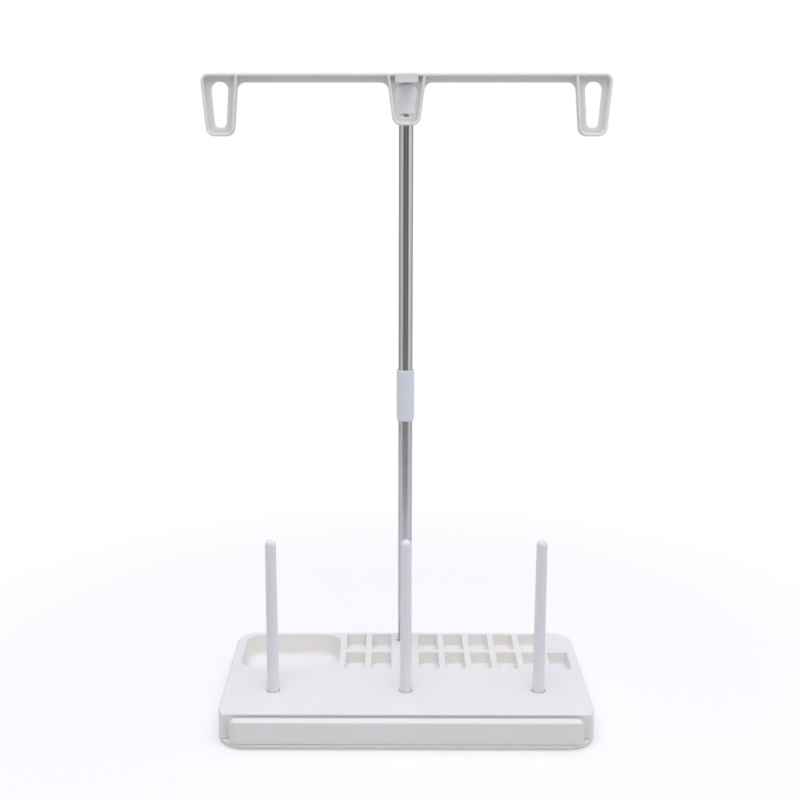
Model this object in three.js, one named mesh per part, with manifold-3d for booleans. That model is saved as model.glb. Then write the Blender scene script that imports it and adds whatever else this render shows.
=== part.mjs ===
// Thread spool stand for cones and spools beside a sewing machine.
// A shallow base holds bobbin cells, a notions pocket and a drawer. Three pins carry the
// spools, and a plug-together mast lifts a guide bar with three thread loops above them.
// Millimetres, +Z up, the front faces -Y, and the origin lies on the table under the
// middle of the base.
import * as THREE from 'three';
import * as BufferGeometryUtils from 'three/addons/utils/BufferGeometryUtils.js';
import Module from 'manifold-3d';

const wasm = await Module();
wasm.setup();

// Clearances
const seam = 0.3; // between pieces that seat on or plug into each other
const slideGap = 0.6; // around the drawer where it runs
const cutMargin = 1; // how far a cutter reaches past the face that it opens

// Base outline, shared by the bottom plate and the cover
const baseWidth = 240;
const baseDepth = 130;
const baseHeight = 19.6;
const frontCornerRadius = 18;
const backCornerRadius = 15;
const frontLedge = 7.9; // the plate and the drawer front stand this far before the cover

// Bottom plate
const plateThickness = 2.6;
const plateEdgeRound = 0.7;
const plateTopRound = 0.3; // small, so that the drawer front and the plate meet in a fine seam
const lipThickness = 1.4; // low lip that the cover walls sit around
const lipHeight = 1.2;
const lipStart = 8; // the lip runs back from this far behind the drawer space
const runnerThickness = 1.6;
const runnerHeight = 5;
const runnerSetback = 8; // behind the front edge of the cover

// Cover shell
const coverWall = 2.5;
const deckThickness = 2.2;
const deckEdgeRound = 1.6;
const innerWall = 1.5; // walls and floors of the cells, the pocket and the bosses
const frameDepth = 2.2; // frame that closes the front beside and above the drawer
const frameLip = 1.5; // the frame reaches this far below the underside of the deck

// Bobbin cells
const cellWidth = 13.7;
const cellLength = 25;
const cellLand = 4.3; // deck between two columns
const rowLand = 4.3; // deck between the two rows
const cellBackRim = 3.6;
const cellSideRim = 6.5;
const cellFloorGap = 7.2; // free height under the cell floors
const cellDraft = 0.3; // each wall leans in by this much at the floor
const leftColumns = 2;
const rows = 2;
const mastLand = 19.3; // deck between the columns on both sides of the mast

// Notions pocket
const pocketSideRim = 6.7;
const pocketLand = 4.3; // deck between the pocket and the first cells
const pocketFloorGap = 0.3;
const pocketRadius = 13;
const pocketLipRound = 0.7;
const pocketFloorRound = 3;
const pocketDraft = 0.7;

// Drawer
const drawerFloor = 1.6;
const drawerWall = 1.6;
const drawerFrontWall = 2.5;
const drawerSideGap = 5.2; // between the drawer front and the inner faces of the cover walls
const frameOverlap = 1; // the drawer front covers the frame by this much on each side
const drawerCornerRadius = 6;
const drawerBackRadius = 3;
const drawerBackSpace = 9.6; // between the drawer and the cells, for the screw bosses
const drawerTopDrop = 1.3; // the front ends this far below the deck
const drawerSideDrop = 2.2; // the sides end this far below the underside of the deck
const drawerTopCornerRadius = 5.5;
const drawerTopRound = 1.6;
const drawerBottomRound = 0.3;
const drawerFrontReach = 5.6; // depth of the tall front part, short of the cover
const stopOffset = 50; // the two stops from the middle
const stopWidth = 9;
const stopThickness = 1.6;
const stopDrop = 4.1; // under the deck
const stopSetback = 3; // behind the front edge of the cover

// Spool pins
const pinHeight = 104; // above the deck
const pinBaseDiameter = 7.8;
const pinTopDiameter = 6.8;
const pinTipHeight = 3.2;
const pinSideInset = 32.9; // outer pins from the sides of the base
const pinFrontInset = 32.5; // pins from the front edge of the cover
const pinSocketDepth = 7.2;
const pinSocketPlay = 0.4; // around the pin, it stands loose
const bossWall = 1.7;
const gussetLength = 4.5;
const gussetThickness = 1.4;
const gussetHeight = 4.5;

// Mast
const tubeDiameter = 9.5;
const tubeWall = 0.8;
const tubeEdgeRound = 0.2;
const mastBackInset = 13.3;
const mastCollarHeight = 0.8;
const mastCollarWidth = 2.2;
const mastSocketFloor = 1.6;
const lowerTubeLength = 194.9;
const upperTubeLength = 202.4;
const sleeveDiameter = 11.8;
const sleeveBulge = 0.3;
const sleeveLength = 35.7;
const sleeveStop = 2; // web in the middle that both tubes stop on
const sleeveStopBore = 5;
const sleeveEndRound = 0.6;
const sleeveGroove = 0.2;

// Mast head
const headBoreDepth = 14;
const headSkirtDiameter = 14;
const headDiameter = 15.4;
const headHeight = 19.5;
const headSkirtHeight = 7.8;
const headDomeRound = 5;
const tongueWidth = 11.6;
const tongueDepth = 6;
const tongueHeight = 4.6;

// Guide bar
const barLength = 265.4;
const barHeight = 6.1;
const barDepth = 7;
const rimWidth = 2.25; // flange and the raised rims of the loops
const rimRound = 0.7;
const rimDraft = 0.25;
const barWeb = 2;
const barGap = 4.9; // free way for the thread between the bar and the mast head
const webFillet = 5.4;
const hubWidth = 15.1;
const hubWall = 1.5;
const hubCornerRadius = 1;
const sideLoop = {
  topWidth: 24.6, bottomWidth: 17.9, height: 40.2, bottomRadius: 5.8, topRadius: 5,
  slotTop: 5.6, slotBottomLand: 5.6, slotTopWidth: 11.8, slotBottomWidth: 7.4,
};
const middleLoop = {
  topWidth: 25.8, bottomWidth: 17.2, height: 33.3, bottomRadius: 5.8, topRadius: 0,
  slotTop: 5.6, slotBottomLand: 5.4, slotTopWidth: 15, slotBottomWidth: 9.6,
};

// Feet and screws
const footDiameter = 14;
const footThickness = 1.8;
const footProud = 1.2;
const footSideInset = 32;
const footEndInset = 17;
const screwShank = 2.8;
const screwHeadDiameter = 5.8;
const screwHeadHeight = 1.5;
const screwReach = 8; // into the cover boss
const screwPlay = 0.3;
const screwSink = 0.4; // the head lies this far inside the plate
const screwCollarWall = 1.8;
const screwCollarHeight = 1.5;
const screwSideInset = 8;
const screwInnerOffset = 40;

// Levels and places that follow from the sizes
const plateBottom = footProud;
const plateTop = plateBottom + plateThickness;
const deckTop = plateBottom + baseHeight;
const deckUnder = deckTop - deckThickness;
const halfWidth = baseWidth / 2;
const halfDepth = baseDepth / 2;
const coverFront = -halfDepth + frontLedge;
const innerHalfWidth = halfWidth - coverWall;

const cellFloor = plateTop + cellFloorGap + innerWall;
const pocketFloor = plateTop + pocketFloorGap + innerWall;
const backRowBack = halfDepth - cellBackRim;
const frontRowFront = backRowBack - rows * cellLength - (rows - 1) * rowLand;
const cellPitch = cellWidth + cellLand;
const rightSpace = halfWidth - cellSideRim - mastLand / 2 + cellLand;
const rightColumns = Math.max(1, Math.floor(rightSpace / cellPitch));
const pocketLeft = -halfWidth + pocketSideRim;
const pocketRight = -mastLand / 2 - leftColumns * cellPitch + cellLand - pocketLand;

const drawerHalfWidth = innerHalfWidth - drawerSideGap;
const openingHalfWidth = drawerHalfWidth - frameOverlap;
const trayHalfWidth = openingHalfWidth - slideGap;
const drawerFront = -halfDepth;
const drawerBack = frontRowFront - innerWall - drawerBackSpace;
const drawerBottom = plateTop + seam;
const drawerFrontTop = deckTop - drawerTopDrop;
const drawerSideTop = deckUnder - drawerSideDrop;
const pinBossBottom = deckTop - pinSocketDepth - innerWall;
const drawerBackTop = pinBossBottom - slideGap;

const pinX = halfWidth - pinSideInset;
const pinY = coverFront + pinFrontInset;
const mastY = halfDepth - mastBackInset;
const screwRowY = drawerBack + drawerBackSpace / 2;

const steps = { fine: 24, round: 20, small: 14 };

// Solid from a three.js geometry: positions only, shared vertices merged, and the
// triangles that shrink to nothing on a lathe's axis left out.
function solid(geometry) {
  const plain = geometry.clone();
  plain.deleteAttribute('normal');
  plain.deleteAttribute('uv');
  const merged = BufferGeometryUtils.mergeVertices(plain, 1e-4);
  const triangles = [];
  for (let i = 0; i < merged.index.count; i += 3) {
    const [a, b, c] = [0, 1, 2].map((k) => merged.index.getX(i + k));
    if (a !== b && b !== c && c !== a) triangles.push(a, b, c);
  }
  return new wasm.Manifold(new wasm.Mesh({
    numProp: 3,
    vertProperties: new Float32Array(merged.attributes.position.array),
    triVerts: new Uint32Array(triangles),
  }));
}

function joined(solids) {
  return solids.reduce((sum, next) => sum.add(next));
}

function without(body, cutters) {
  return cutters.reduce((rest, cutter) => rest.subtract(cutter), body);
}

// Closed outline with straight edges and rounded corners, counterclockwise. A corner is
// [x, y, radius]. inset moves every edge inwards, or outwards where it is negative.
function outline(corners, inset = 0) {
  const points = [];
  const spots = corners.map(([x, y]) => new THREE.Vector2(x, y));
  corners.forEach(([, , radius = 0], i) => {
    const spot = spots[i];
    const before = spots[(i + spots.length - 1) % spots.length];
    const after = spots[(i + 1) % spots.length];
    const along = spot.clone().sub(before).normalize();
    const onward = after.clone().sub(spot).normalize();
    const normal = new THREE.Vector2(-along.y, along.x);
    const nextNormal = new THREE.Vector2(-onward.y, onward.x);
    const corner = normal.clone().add(nextNormal)
      .multiplyScalar(inset / (1 + normal.dot(nextNormal))).add(spot);
    const turn = Math.atan2(along.cross(onward), along.dot(onward));
    const side = Math.sign(turn);
    if (radius === 0) {
      points.push(corner);
      return;
    }
    const arcRadius = Math.max(radius - side * inset, 0.15);
    const reach = arcRadius * Math.tan(Math.abs(turn) / 2);
    const centre = corner.clone().addScaledVector(along, -reach)
      .addScaledVector(normal, side * arcRadius);
    const spokes = normal.clone().multiplyScalar(-side * arcRadius);
    const arcSteps = Math.max(2, Math.round(2 * Math.sqrt(radius)));
    for (let k = 0; k <= arcSteps; k += 1) {
      const spoke = spokes.clone().rotateAround(new THREE.Vector2(), (turn * k) / arcSteps);
      points.push(centre.clone().add(spoke));
    }
  });
  return points;
}

// Solid between copies of one outline, each level given as [height, inset].
function loft(corners, levels) {
  const rings = levels.map(([, inset]) => outline(corners, inset));
  const count = rings[0].length;
  const positions = rings.flatMap((ring, i) => ring.flatMap((p) => [p.x, p.y, levels[i][0]]));
  const index = [];
  for (let level = 0; level + 1 < levels.length; level += 1) {
    for (let j = 0; j < count; j += 1) {
      const a = level * count + j;
      const b = level * count + ((j + 1) % count);
      index.push(a, b, b + count, a, b + count, a + count);
    }
  }
  const last = (levels.length - 1) * count;
  THREE.ShapeUtils.triangulateShape(rings[0], []).forEach(([a, b, c]) => index.push(c, b, a));
  THREE.ShapeUtils.triangulateShape(rings[rings.length - 1], [])
    .forEach(([a, b, c]) => index.push(last + a, last + b, last + c));
  const geometry = new THREE.BufferGeometry();
  geometry.setAttribute('position', new THREE.Float32BufferAttribute(positions, 3));
  geometry.setIndex(index);
  return geometry;
}

// Levels of a wall from bottom to top whose edges are rounded by quarter arcs.
function wallLevels(bottom, top, { bottomRound = 0, topRound = 0, arcSteps = 3 } = {}) {
  const levels = [];
  for (let k = 0; k <= arcSteps && bottomRound > 0; k += 1) {
    const angle = (Math.PI / 2) * (k / arcSteps);
    levels.push([bottom + bottomRound * (1 - Math.cos(angle)), bottomRound * (1 - Math.sin(angle))]);
  }
  if (bottomRound === 0) levels.push([bottom, 0]);
  for (let k = 0; k <= arcSteps && topRound > 0; k += 1) {
    const angle = (Math.PI / 2) * (k / arcSteps);
    levels.push([top - topRound * (1 - Math.sin(angle)), topRound * (1 - Math.cos(angle))]);
  }
  if (topRound === 0) levels.push([top, 0]);
  return levels;
}

function rectangle(left, right, front, back, radii = [0, 0, 0, 0]) {
  return [[left, front, radii[0]], [right, front, radii[1]], [right, back, radii[2]], [left, back, radii[3]]];
}

function box(left, right, front, back, bottom, top) {
  return solid(loft(rectangle(left, right, front, back), [[bottom, 0], [top, 0]]));
}

// Turned solid about a vertical axis at x, y. The profile is [radius, height] points
// that go up the outside and back down the inside.
function turned(profile, x = 0, y = 0, around = steps.round) {
  const points = profile.map(([radius, height]) => new THREE.Vector2(radius, height));
  const geometry = new THREE.LatheGeometry(points, around);
  geometry.rotateX(Math.PI / 2);
  geometry.translate(x, y, 0);
  return solid(geometry);
}

function disc(radius, bottom, top, x, y, around = steps.round) {
  return turned([[0, bottom], [radius, bottom], [radius, top], [0, top]], x, y, around);
}

// Solid drawn in the front view and stretched along Y. Local depth 0 lies at y = back and
// grows towards the front, and local height 0 lies at z = top.
function frontView(geometry, back, top) {
  geometry.rotateX(Math.PI / 2);
  geometry.translate(0, back, top);
  return solid(geometry);
}

function mesh(name, body, material) {
  const { vertProperties, triVerts } = body.getMesh();
  const geometry = new THREE.BufferGeometry();
  geometry.setAttribute('position', new THREE.BufferAttribute(vertProperties, 3));
  geometry.setIndex(new THREE.BufferAttribute(triVerts, 1));
  geometry.computeVertexNormals();
  const piece = new THREE.Mesh(geometry, material);
  piece.name = name;
  return piece;
}

const baseOutline = rectangle(-halfWidth, halfWidth, -halfDepth, halfDepth,
  [frontCornerRadius, frontCornerRadius, backCornerRadius, backCornerRadius]);

const screwSpots = [
  [-halfWidth + screwSideInset, screwRowY],
  [-screwInnerOffset, screwRowY],
  [screwInnerOffset, screwRowY],
  [halfWidth - screwSideInset, screwRowY],
  [0, frontRowFront + cellLength / 2],
  [halfWidth - cellSideRim - cellWidth / 2, backRowBack - cellLength / 2],
];
const screwHole = screwShank / 2 + screwPlay;
const screwCollar = screwHole + screwCollarWall;
const screwSeat = plateBottom + screwSink + screwHeadHeight + seam;
const screwBossBottom = plateTop + screwCollarHeight + seam;

const footSpots = {
  front_left: [-halfWidth + footSideInset, -halfDepth + footEndInset],
  front_right: [halfWidth - footSideInset, -halfDepth + footEndInset],
  back_left: [-halfWidth + footSideInset, halfDepth - footEndInset],
  back_right: [halfWidth - footSideInset, halfDepth - footEndInset],
};

// Bottom plate: the ledge in front, a lip inside the cover walls, two drawer runners and
// a collar round each screw.
function basePlate() {
  const slab = solid(loft(baseOutline, wallLevels(plateBottom, plateTop,
    { bottomRound: plateEdgeRound, topRound: plateTopRound, arcSteps: 2 })));
  const lipOuter = coverWall + seam;
  const lipTop = plateTop + lipHeight;
  const root = plateTop - plateEdgeRound;
  const lip = solid(loft(baseOutline, [[root, lipOuter], [lipTop, lipOuter]]))
    .subtract(solid(loft(baseOutline,
      [[root - cutMargin, lipOuter + lipThickness], [lipTop + cutMargin, lipOuter + lipThickness]])))
    .subtract(box(-baseWidth, baseWidth, -baseDepth, drawerBack + drawerBackSpace + lipStart,
      root - cutMargin, lipTop + cutMargin));
  const runnerInner = openingHalfWidth;
  const runners = [-1, 1].map((side) => {
    const edges = [side * runnerInner, side * (runnerInner + runnerThickness)].sort((a, b) => a - b);
    return box(edges[0], edges[1], coverFront + runnerSetback, drawerBack, root, plateTop + runnerHeight);
  });
  const collars = screwSpots.map(([x, y]) => disc(screwCollar, root, plateTop + screwCollarHeight, x, y));
  const headBore = screwHeadDiameter / 2 + screwPlay;
  const holes = screwSpots.map(([x, y]) => turned([
    [0, plateBottom - cutMargin], [headBore, plateBottom - cutMargin], [headBore, screwSeat],
    [screwHole, screwSeat], [screwHole, screwBossBottom + cutMargin], [0, screwBossBottom + cutMargin],
  ], x, y, steps.small));
  const recessTop = footThickness + seam;
  const recesses = Object.values(footSpots).map(([x, y]) => (
    disc(footDiameter / 2 + seam, plateBottom - cutMargin, recessTop, x, y, steps.fine)));
  return without(joined([slab, lip, ...runners, ...collars]), [...holes, ...recesses]);
}

// Every bobbin cell as its column centre and row back edge. The last column on the right
// has no back cell where the round corner of the deck cuts in.
function cellPlaces() {
  const firstColumn = mastLand / 2 + cellWidth / 2;
  const columns = [];
  for (let i = 0; i < leftColumns; i += 1) columns.push(-firstColumn - i * cellPitch);
  for (let i = 0; i < rightColumns; i += 1) columns.push(firstColumn + i * cellPitch);
  const places = [];
  columns.forEach((x) => {
    for (let row = 0; row < rows; row += 1) {
      const back = backRowBack - row * (cellLength + rowLand);
      const nearCorner = x + cellWidth / 2 > halfWidth - backCornerRadius;
      if (row > 0 || !nearCorner) places.push({ x, back });
    }
  });
  return places;
}

// A tapered pocket round one cell, grown by the wall where it is the outside.
function cellBody({ x, back }, grow, floor, top) {
  const half = cellWidth / 2;
  return solid(loft(rectangle(x - half, x + half, back - cellLength, back),
    [[floor, cellDraft - grow], [top, -grow]]));
}

function pocketBody(grow, floor, top, lip) {
  const corners = rectangle(pocketLeft, pocketRight, frontRowFront, backRowBack,
    [pocketRadius, pocketRadius, pocketRadius, pocketRadius]);
  const round = pocketFloorRound + grow;
  const levels = wallLevels(floor, top, { bottomRound: round, topRound: 0 })
    .map(([z, inset]) => [z, inset - grow + pocketDraft * (1 - (z - floor) / (top - floor))]);
  if (lip > 0) {
    levels.pop();
    levels.push([deckTop - lip, 0], [deckTop - lip * 0.3, -lip * 0.3], [deckTop, -lip]);
    levels.push([top, -lip - cutMargin]);
  }
  return solid(loft(corners, levels));
}

// Boss under the deck with four gussets, for a spool pin.
function pinBoss(x) {
  const radius = pinBaseDiameter / 2 + pinSocketPlay + bossWall;
  const reach = radius + gussetLength;
  const half = gussetThickness / 2;
  const foot = deckUnder - gussetHeight;
  return joined([
    disc(radius, pinBossBottom, deckTop - deckThickness / 2, x, pinY),
    box(x - reach, x + reach, pinY - half, pinY + half, foot, deckTop - deckThickness / 2),
    box(x - half, x + half, pinY - reach, pinY + reach, foot, deckTop - deckThickness / 2),
  ]);
}

function pinSocket(x) {
  const radius = pinBaseDiameter / 2 + pinSocketPlay;
  return disc(radius, deckTop - pinSocketDepth, deckTop + cutMargin, x, pinY);
}

// Cover: shell with open bottom and a framed opening in front, cells and pocket hanging
// from the deck, bosses for the pins, the mast and the screws, and two drawer stops.
function baseCover() {
  const insideDeck = deckTop - deckThickness / 2;
  const shell = solid(loft(baseOutline, wallLevels(plateTop + seam, deckTop, { topRound: deckEdgeRound })));
  const hollow = solid(loft(baseOutline, wallLevels(plateTop - cutMargin, deckUnder, { topRound: 1 })
    .map(([z, inset]) => [z, inset + coverWall])));
  const frontCut = box(-baseWidth, baseWidth, -baseDepth, coverFront, 0, deckTop + baseHeight);
  const frameBack = coverFront + frameDepth;
  const frame = shell.intersect(joined([
    box(-baseWidth, -openingHalfWidth, coverFront, frameBack, 0, deckTop),
    box(openingHalfWidth, baseWidth, coverFront, frameBack, 0, deckTop),
    box(-baseWidth, baseWidth, coverFront, frameBack, deckUnder - frameLip, deckTop),
  ]));
  const places = cellPlaces();
  const cellShells = places.map((place) => cellBody(place, innerWall, cellFloor - innerWall, insideDeck));
  const pocketShell = pocketBody(innerWall, pocketFloor - innerWall, insideDeck, 0);
  const pins = [-pinX, 0, pinX];
  const mastBore = tubeDiameter / 2 + seam;
  const mastBoss = turned([
    [0, plateTop + seam], [mastBore + mastCollarWidth, plateTop + seam],
    [mastBore + mastCollarWidth, deckTop + mastCollarHeight * 0.5],
    [mastBore + mastCollarWidth * 0.8, deckTop + mastCollarHeight],
    [0, deckTop + mastCollarHeight],
  ], 0, mastY, steps.fine);
  const mastWeb = box(-gussetThickness / 2, gussetThickness / 2, mastY, halfDepth - coverWall / 2,
    cellFloor, insideDeck);
  const screwBosses = screwSpots.map(([x, y]) => disc(screwCollar, screwBossBottom, insideDeck, x, y));
  const stops = [-stopOffset, stopOffset].map((x) => box(x - stopWidth / 2, x + stopWidth / 2,
    coverFront + stopSetback, coverFront + stopSetback + stopThickness, deckUnder - stopDrop, insideDeck));
  const body = joined([
    without(shell, [hollow, frontCut]), frame,
    ...cellShells, pocketShell, ...pins.map(pinBoss), mastBoss, mastWeb, ...screwBosses, ...stops,
  ]);
  const pilots = screwSpots.map(([x, y]) => disc(screwHole, screwBossBottom - cutMargin,
    screwBossBottom + screwReach + seam, x, y, steps.small));
  return without(body, [
    ...places.map((place) => cellBody(place, 0, cellFloor, deckTop + cutMargin)),
    pocketBody(0, pocketFloor, deckTop + cutMargin, pocketLipRound),
    ...pins.map(pinSocket),
    disc(mastBore, plateTop + seam + mastSocketFloor, deckTop + 2 * mastCollarHeight, 0, mastY, steps.fine),
    ...pilots,
  ]);
}

// Drawer: tray with a tall round-cornered front, wider than the opening. The low back
// passes under the pin bosses, and two tabs on it meet the stops of the cover.
function drawer() {
  const front = drawerFront;
  const corners = rectangle(-drawerHalfWidth, drawerHalfWidth, front, drawerBack,
    [drawerCornerRadius, drawerCornerRadius, drawerBackRadius, drawerBackRadius]);
  const tub = solid(loft(corners, wallLevels(drawerBottom, drawerFrontTop,
    { bottomRound: drawerBottomRound, topRound: drawerTopRound })));
  const inside = solid(loft(rectangle(-trayHalfWidth + drawerWall, trayHalfWidth - drawerWall,
    front + drawerFrontWall, drawerBack - drawerWall,
    [drawerCornerRadius - drawerWall, drawerCornerRadius - drawerWall,
      drawerBackRadius - drawerWall / 2, drawerBackRadius - drawerWall / 2]),
  wallLevels(drawerBottom + drawerFloor, drawerFrontTop + cutMargin, { bottomRound: drawerFloor / 2 })));
  const face = frontView(loft(rectangle(-drawerHalfWidth, drawerHalfWidth, -baseHeight, 0,
    [0, 0, drawerTopCornerRadius, drawerTopCornerRadius]),
  [[0, 0], [drawerFrontReach + cutMargin, 0]]), front + drawerFrontReach, drawerFrontTop);
  const rest = box(-trayHalfWidth, trayHalfWidth, front + drawerFrontReach, baseDepth, 0, drawerSideTop);
  const lowBack = box(-drawerHalfWidth + drawerCornerRadius, drawerHalfWidth - drawerCornerRadius,
    drawerBack - drawerWall - cutMargin, baseDepth, drawerBackTop, deckTop);
  const tabs = [-stopOffset, stopOffset].map((x) => box(x - stopWidth / 2, x + stopWidth / 2,
    drawerBack - drawerWall, drawerBack, drawerBackTop - drawerWall, drawerSideTop));
  const tray = without(tub, [inside]).intersect(face.add(rest));
  return joined([without(tray, [lowBack]), ...tabs]);
}

// Spool pin: a slim cone with a round tip, its foot loose in the deck.
function spoolPin(x) {
  const bottom = deckTop - pinSocketDepth + seam;
  const base = pinBaseDiameter / 2;
  const top = pinTopDiameter / 2;
  const tip = deckTop + pinHeight;
  const profile = [[0, bottom], [base - seam, bottom], [base, bottom + seam], [base, deckTop]];
  for (let k = 0; k <= 4; k += 1) {
    const angle = (Math.PI / 2) * (k / 4);
    profile.push([k === 4 ? 0 : top * Math.cos(angle), tip - pinTipHeight * (1 - Math.sin(angle))]);
  }
  return turned(profile, x, pinY);
}

const lowerTubeBottom = plateTop + seam + mastSocketFloor + seam;
const lowerTubeTop = lowerTubeBottom + lowerTubeLength;
const stopBottom = lowerTubeTop + seam;
const stopTop = stopBottom + sleeveStop;
const upperTubeBottom = stopTop + seam;
const upperTubeTop = upperTubeBottom + upperTubeLength;
const headBottom = upperTubeTop + seam - headBoreDepth;
const headTop = headBottom + headHeight;
const hubBottom = headTop + seam;
const barTop = hubBottom + barHeight;

function tube(bottom, top) {
  const outer = tubeDiameter / 2;
  const inner = outer - tubeWall;
  return turned([
    [outer - tubeEdgeRound, bottom], [outer, bottom + tubeEdgeRound], [outer, top - tubeEdgeRound],
    [outer - tubeEdgeRound, top], [inner, top], [inner, bottom], [outer - tubeEdgeRound, bottom],
  ], 0, mastY, steps.fine);
}

// Sleeve that both tubes plug into, a little fuller in the middle, with a stop web inside
// and a fine parting groove outside.
function couplingSleeve() {
  const middle = (stopBottom + stopTop) / 2;
  const bottom = middle - sleeveLength / 2;
  const top = middle + sleeveLength / 2;
  const bore = tubeDiameter / 2 + seam;
  const wide = sleeveDiameter / 2 + sleeveBulge / 2;
  const profile = [];
  const ends = sleeveDiameter / 2;
  const bulge = (z) => ends + (sleeveBulge / 2) * Math.cos((Math.PI / 2) * ((z - middle) / (sleeveLength / 2)));
  profile.push([ends - sleeveEndRound, bottom], [ends - sleeveEndRound * 0.3, bottom + sleeveEndRound * 0.3]);
  for (let k = 0; k <= 4; k += 1) {
    const z = bottom + sleeveEndRound + (middle - sleeveGroove - bottom - sleeveEndRound) * (k / 4);
    profile.push([bulge(z), z]);
  }
  profile.push([wide - sleeveGroove, middle]);
  const lower = profile.slice(0, -1).reverse();
  lower.forEach(([radius, z]) => profile.push([radius, 2 * middle - z]));
  profile.push([bore, top], [bore, stopTop], [sleeveStopBore / 2, stopTop]);
  profile.push([sleeveStopBore / 2, stopBottom], [bore, stopBottom], [bore, bottom]);
  profile.push([ends - sleeveEndRound, bottom]);
  return turned(profile, 0, mastY, steps.fine);
}

// Mast head: cap on the tube with a lower skirt, a full upper part with a domed top, and
// a flat tongue that the hub of the guide bar drops over.
function mastHead() {
  const skirt = headSkirtDiameter / 2;
  const wide = headDiameter / 2;
  const step = headBottom + headSkirtHeight;
  const bore = tubeDiameter / 2 + seam;
  const profile = [[bore, headBottom], [skirt - 0.4, headBottom], [skirt, headBottom + 0.4], [skirt, step]];
  profile.push([wide - 0.3, step], [wide, step + 0.3]);
  for (let k = 0; k <= 6; k += 1) {
    const angle = (Math.PI / 2) * (k / 6);
    profile.push([wide - headDomeRound * (1 - Math.cos(angle)), headTop - headDomeRound * (1 - Math.sin(angle))]);
  }
  profile.push([0, headTop], [0, headBottom + headBoreDepth], [bore, headBottom + headBoreDepth]);
  profile.push([bore, headBottom]);
  const tongue = solid(loft(rectangle(-tongueWidth / 2, tongueWidth / 2,
    mastY - tongueDepth / 2, mastY + tongueDepth / 2, [0.6, 0.6, 0.6, 0.6]),
  [[headTop - headDomeRound / 2, 0], [headTop + tongueHeight - 0.6, 0], [headTop + tongueHeight, 0.6]]));
  return turned(profile, 0, mastY, steps.fine).add(tongue);
}

// Guide bar in the front view: x across, height down from the top of the bar.
const barBack = mastY - headDiameter / 2 - barGap;
const loops = [
  { ...sideLoop, x: -(barLength - sideLoop.topWidth) / 2, outer: -1 },
  { ...middleLoop, x: 0, outer: 0 },
  { ...sideLoop, x: (barLength - sideLoop.topWidth) / 2, outer: 1 },
];

function loopCorners({ x, topWidth, bottomWidth, height, bottomRadius, topRadius, outer }) {
  return [
    [x - bottomWidth / 2, -height, bottomRadius],
    [x + bottomWidth / 2, -height, bottomRadius],
    [x + topWidth / 2, 0, outer > 0 ? topRadius : 0],
    [x - topWidth / 2, 0, outer < 0 ? topRadius : 0],
  ];
}

function slotCorners({ x, height, slotTop, slotBottomLand, slotTopWidth, slotBottomWidth }) {
  const topRadius = slotTopWidth * 0.44;
  const bottomRadius = slotBottomWidth * 0.42;
  return [
    [x - slotBottomWidth / 2, -height + slotBottomLand, bottomRadius],
    [x + slotBottomWidth / 2, -height + slotBottomLand, bottomRadius],
    [x + slotTopWidth / 2, -slotTop, topRadius],
    [x - slotTopWidth / 2, -slotTop, topRadius],
  ];
}

// Half width of a loop at a distance below the top of the bar.
function loopHalfWidth({ topWidth, bottomWidth, height }, drop) {
  return (topWidth + (bottomWidth - topWidth) * (drop / height)) / 2;
}

function webCorners() {
  const half = barLength / 2;
  const corners = [[half, 0, sideLoop.topRadius], [-half, 0, sideLoop.topRadius]];
  loops.forEach((loop) => {
    const atBar = loopHalfWidth(loop, barHeight);
    if (loop.outer >= 0) corners.push([loop.x - atBar, -barHeight, webFillet]);
    corners.push([loop.x - loop.bottomWidth / 2, -loop.height, loop.bottomRadius]);
    corners.push([loop.x + loop.bottomWidth / 2, -loop.height, loop.bottomRadius]);
    if (loop.outer <= 0) corners.push([loop.x + atBar, -barHeight, webFillet]);
  });
  return corners;
}

// Raised rim round one loop, up to the flange, a little thinner and rounded at the front.
function loopRim(loop) {
  const corners = loopCorners(loop);
  const front = barDepth - rimRound;
  const outer = frontView(loft(corners, [[0, 0], [front, rimDraft],
    [front + rimRound * 0.7, rimDraft + rimRound * 0.3], [barDepth, rimDraft + rimRound]]), barBack, barTop);
  const inner = frontView(loft(corners, [[-cutMargin, rimWidth], [barWeb, rimWidth], [front, rimWidth - rimDraft],
    [front + rimRound * 0.7, rimWidth - rimDraft - rimRound * 0.3],
    [barDepth + 0.01, rimWidth - rimDraft - rimRound]]), barBack, barTop);
  return outer.subtract(inner);
}

function guideBar() {
  const web = frontView(loft(webCorners(), [[0, 0], [barWeb, 0]]), barBack, barTop);
  const slots = loops.map((loop) => frontView(loft(slotCorners(loop),
    [[-cutMargin, 0], [barWeb + cutMargin, 0]]), barBack, barTop));
  const inset = sideLoop.topWidth - rimWidth;
  const flange = frontView(loft(rectangle(-barLength / 2 + inset, barLength / 2 - inset, -rimWidth, 0),
    [[0, 0], [barDepth - rimRound, rimDraft], [barDepth - rimRound * 0.3, rimDraft + rimRound * 0.3],
      [barDepth, rimDraft + rimRound]]), barBack, barTop);
  const hubFront = barBack - barDepth;
  const hubBack = mastY + tongueDepth / 2 + seam + hubWall;
  const hub = solid(loft(rectangle(-hubWidth / 2, hubWidth / 2, hubFront, hubBack,
    Array(4).fill(hubCornerRadius)), wallLevels(hubBottom, barTop, { topRound: 0.5, arcSteps: 2 })));
  const socketHalf = tongueWidth / 2 + seam;
  const socket = box(-socketHalf, socketHalf, mastY - tongueDepth / 2 - seam, mastY + tongueDepth / 2 + seam,
    hubBottom - cutMargin, headTop + tongueHeight + seam);
  return joined([web.subtract(joined(slots)), flange, ...loops.map(loopRim), hub]).subtract(socket);
}

function foot([x, y]) {
  const radius = footDiameter / 2;
  return turned([[0, 0], [radius - 0.5, 0], [radius, 0.5], [radius, footThickness], [0, footThickness]],
    x, y, steps.fine);
}

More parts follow.
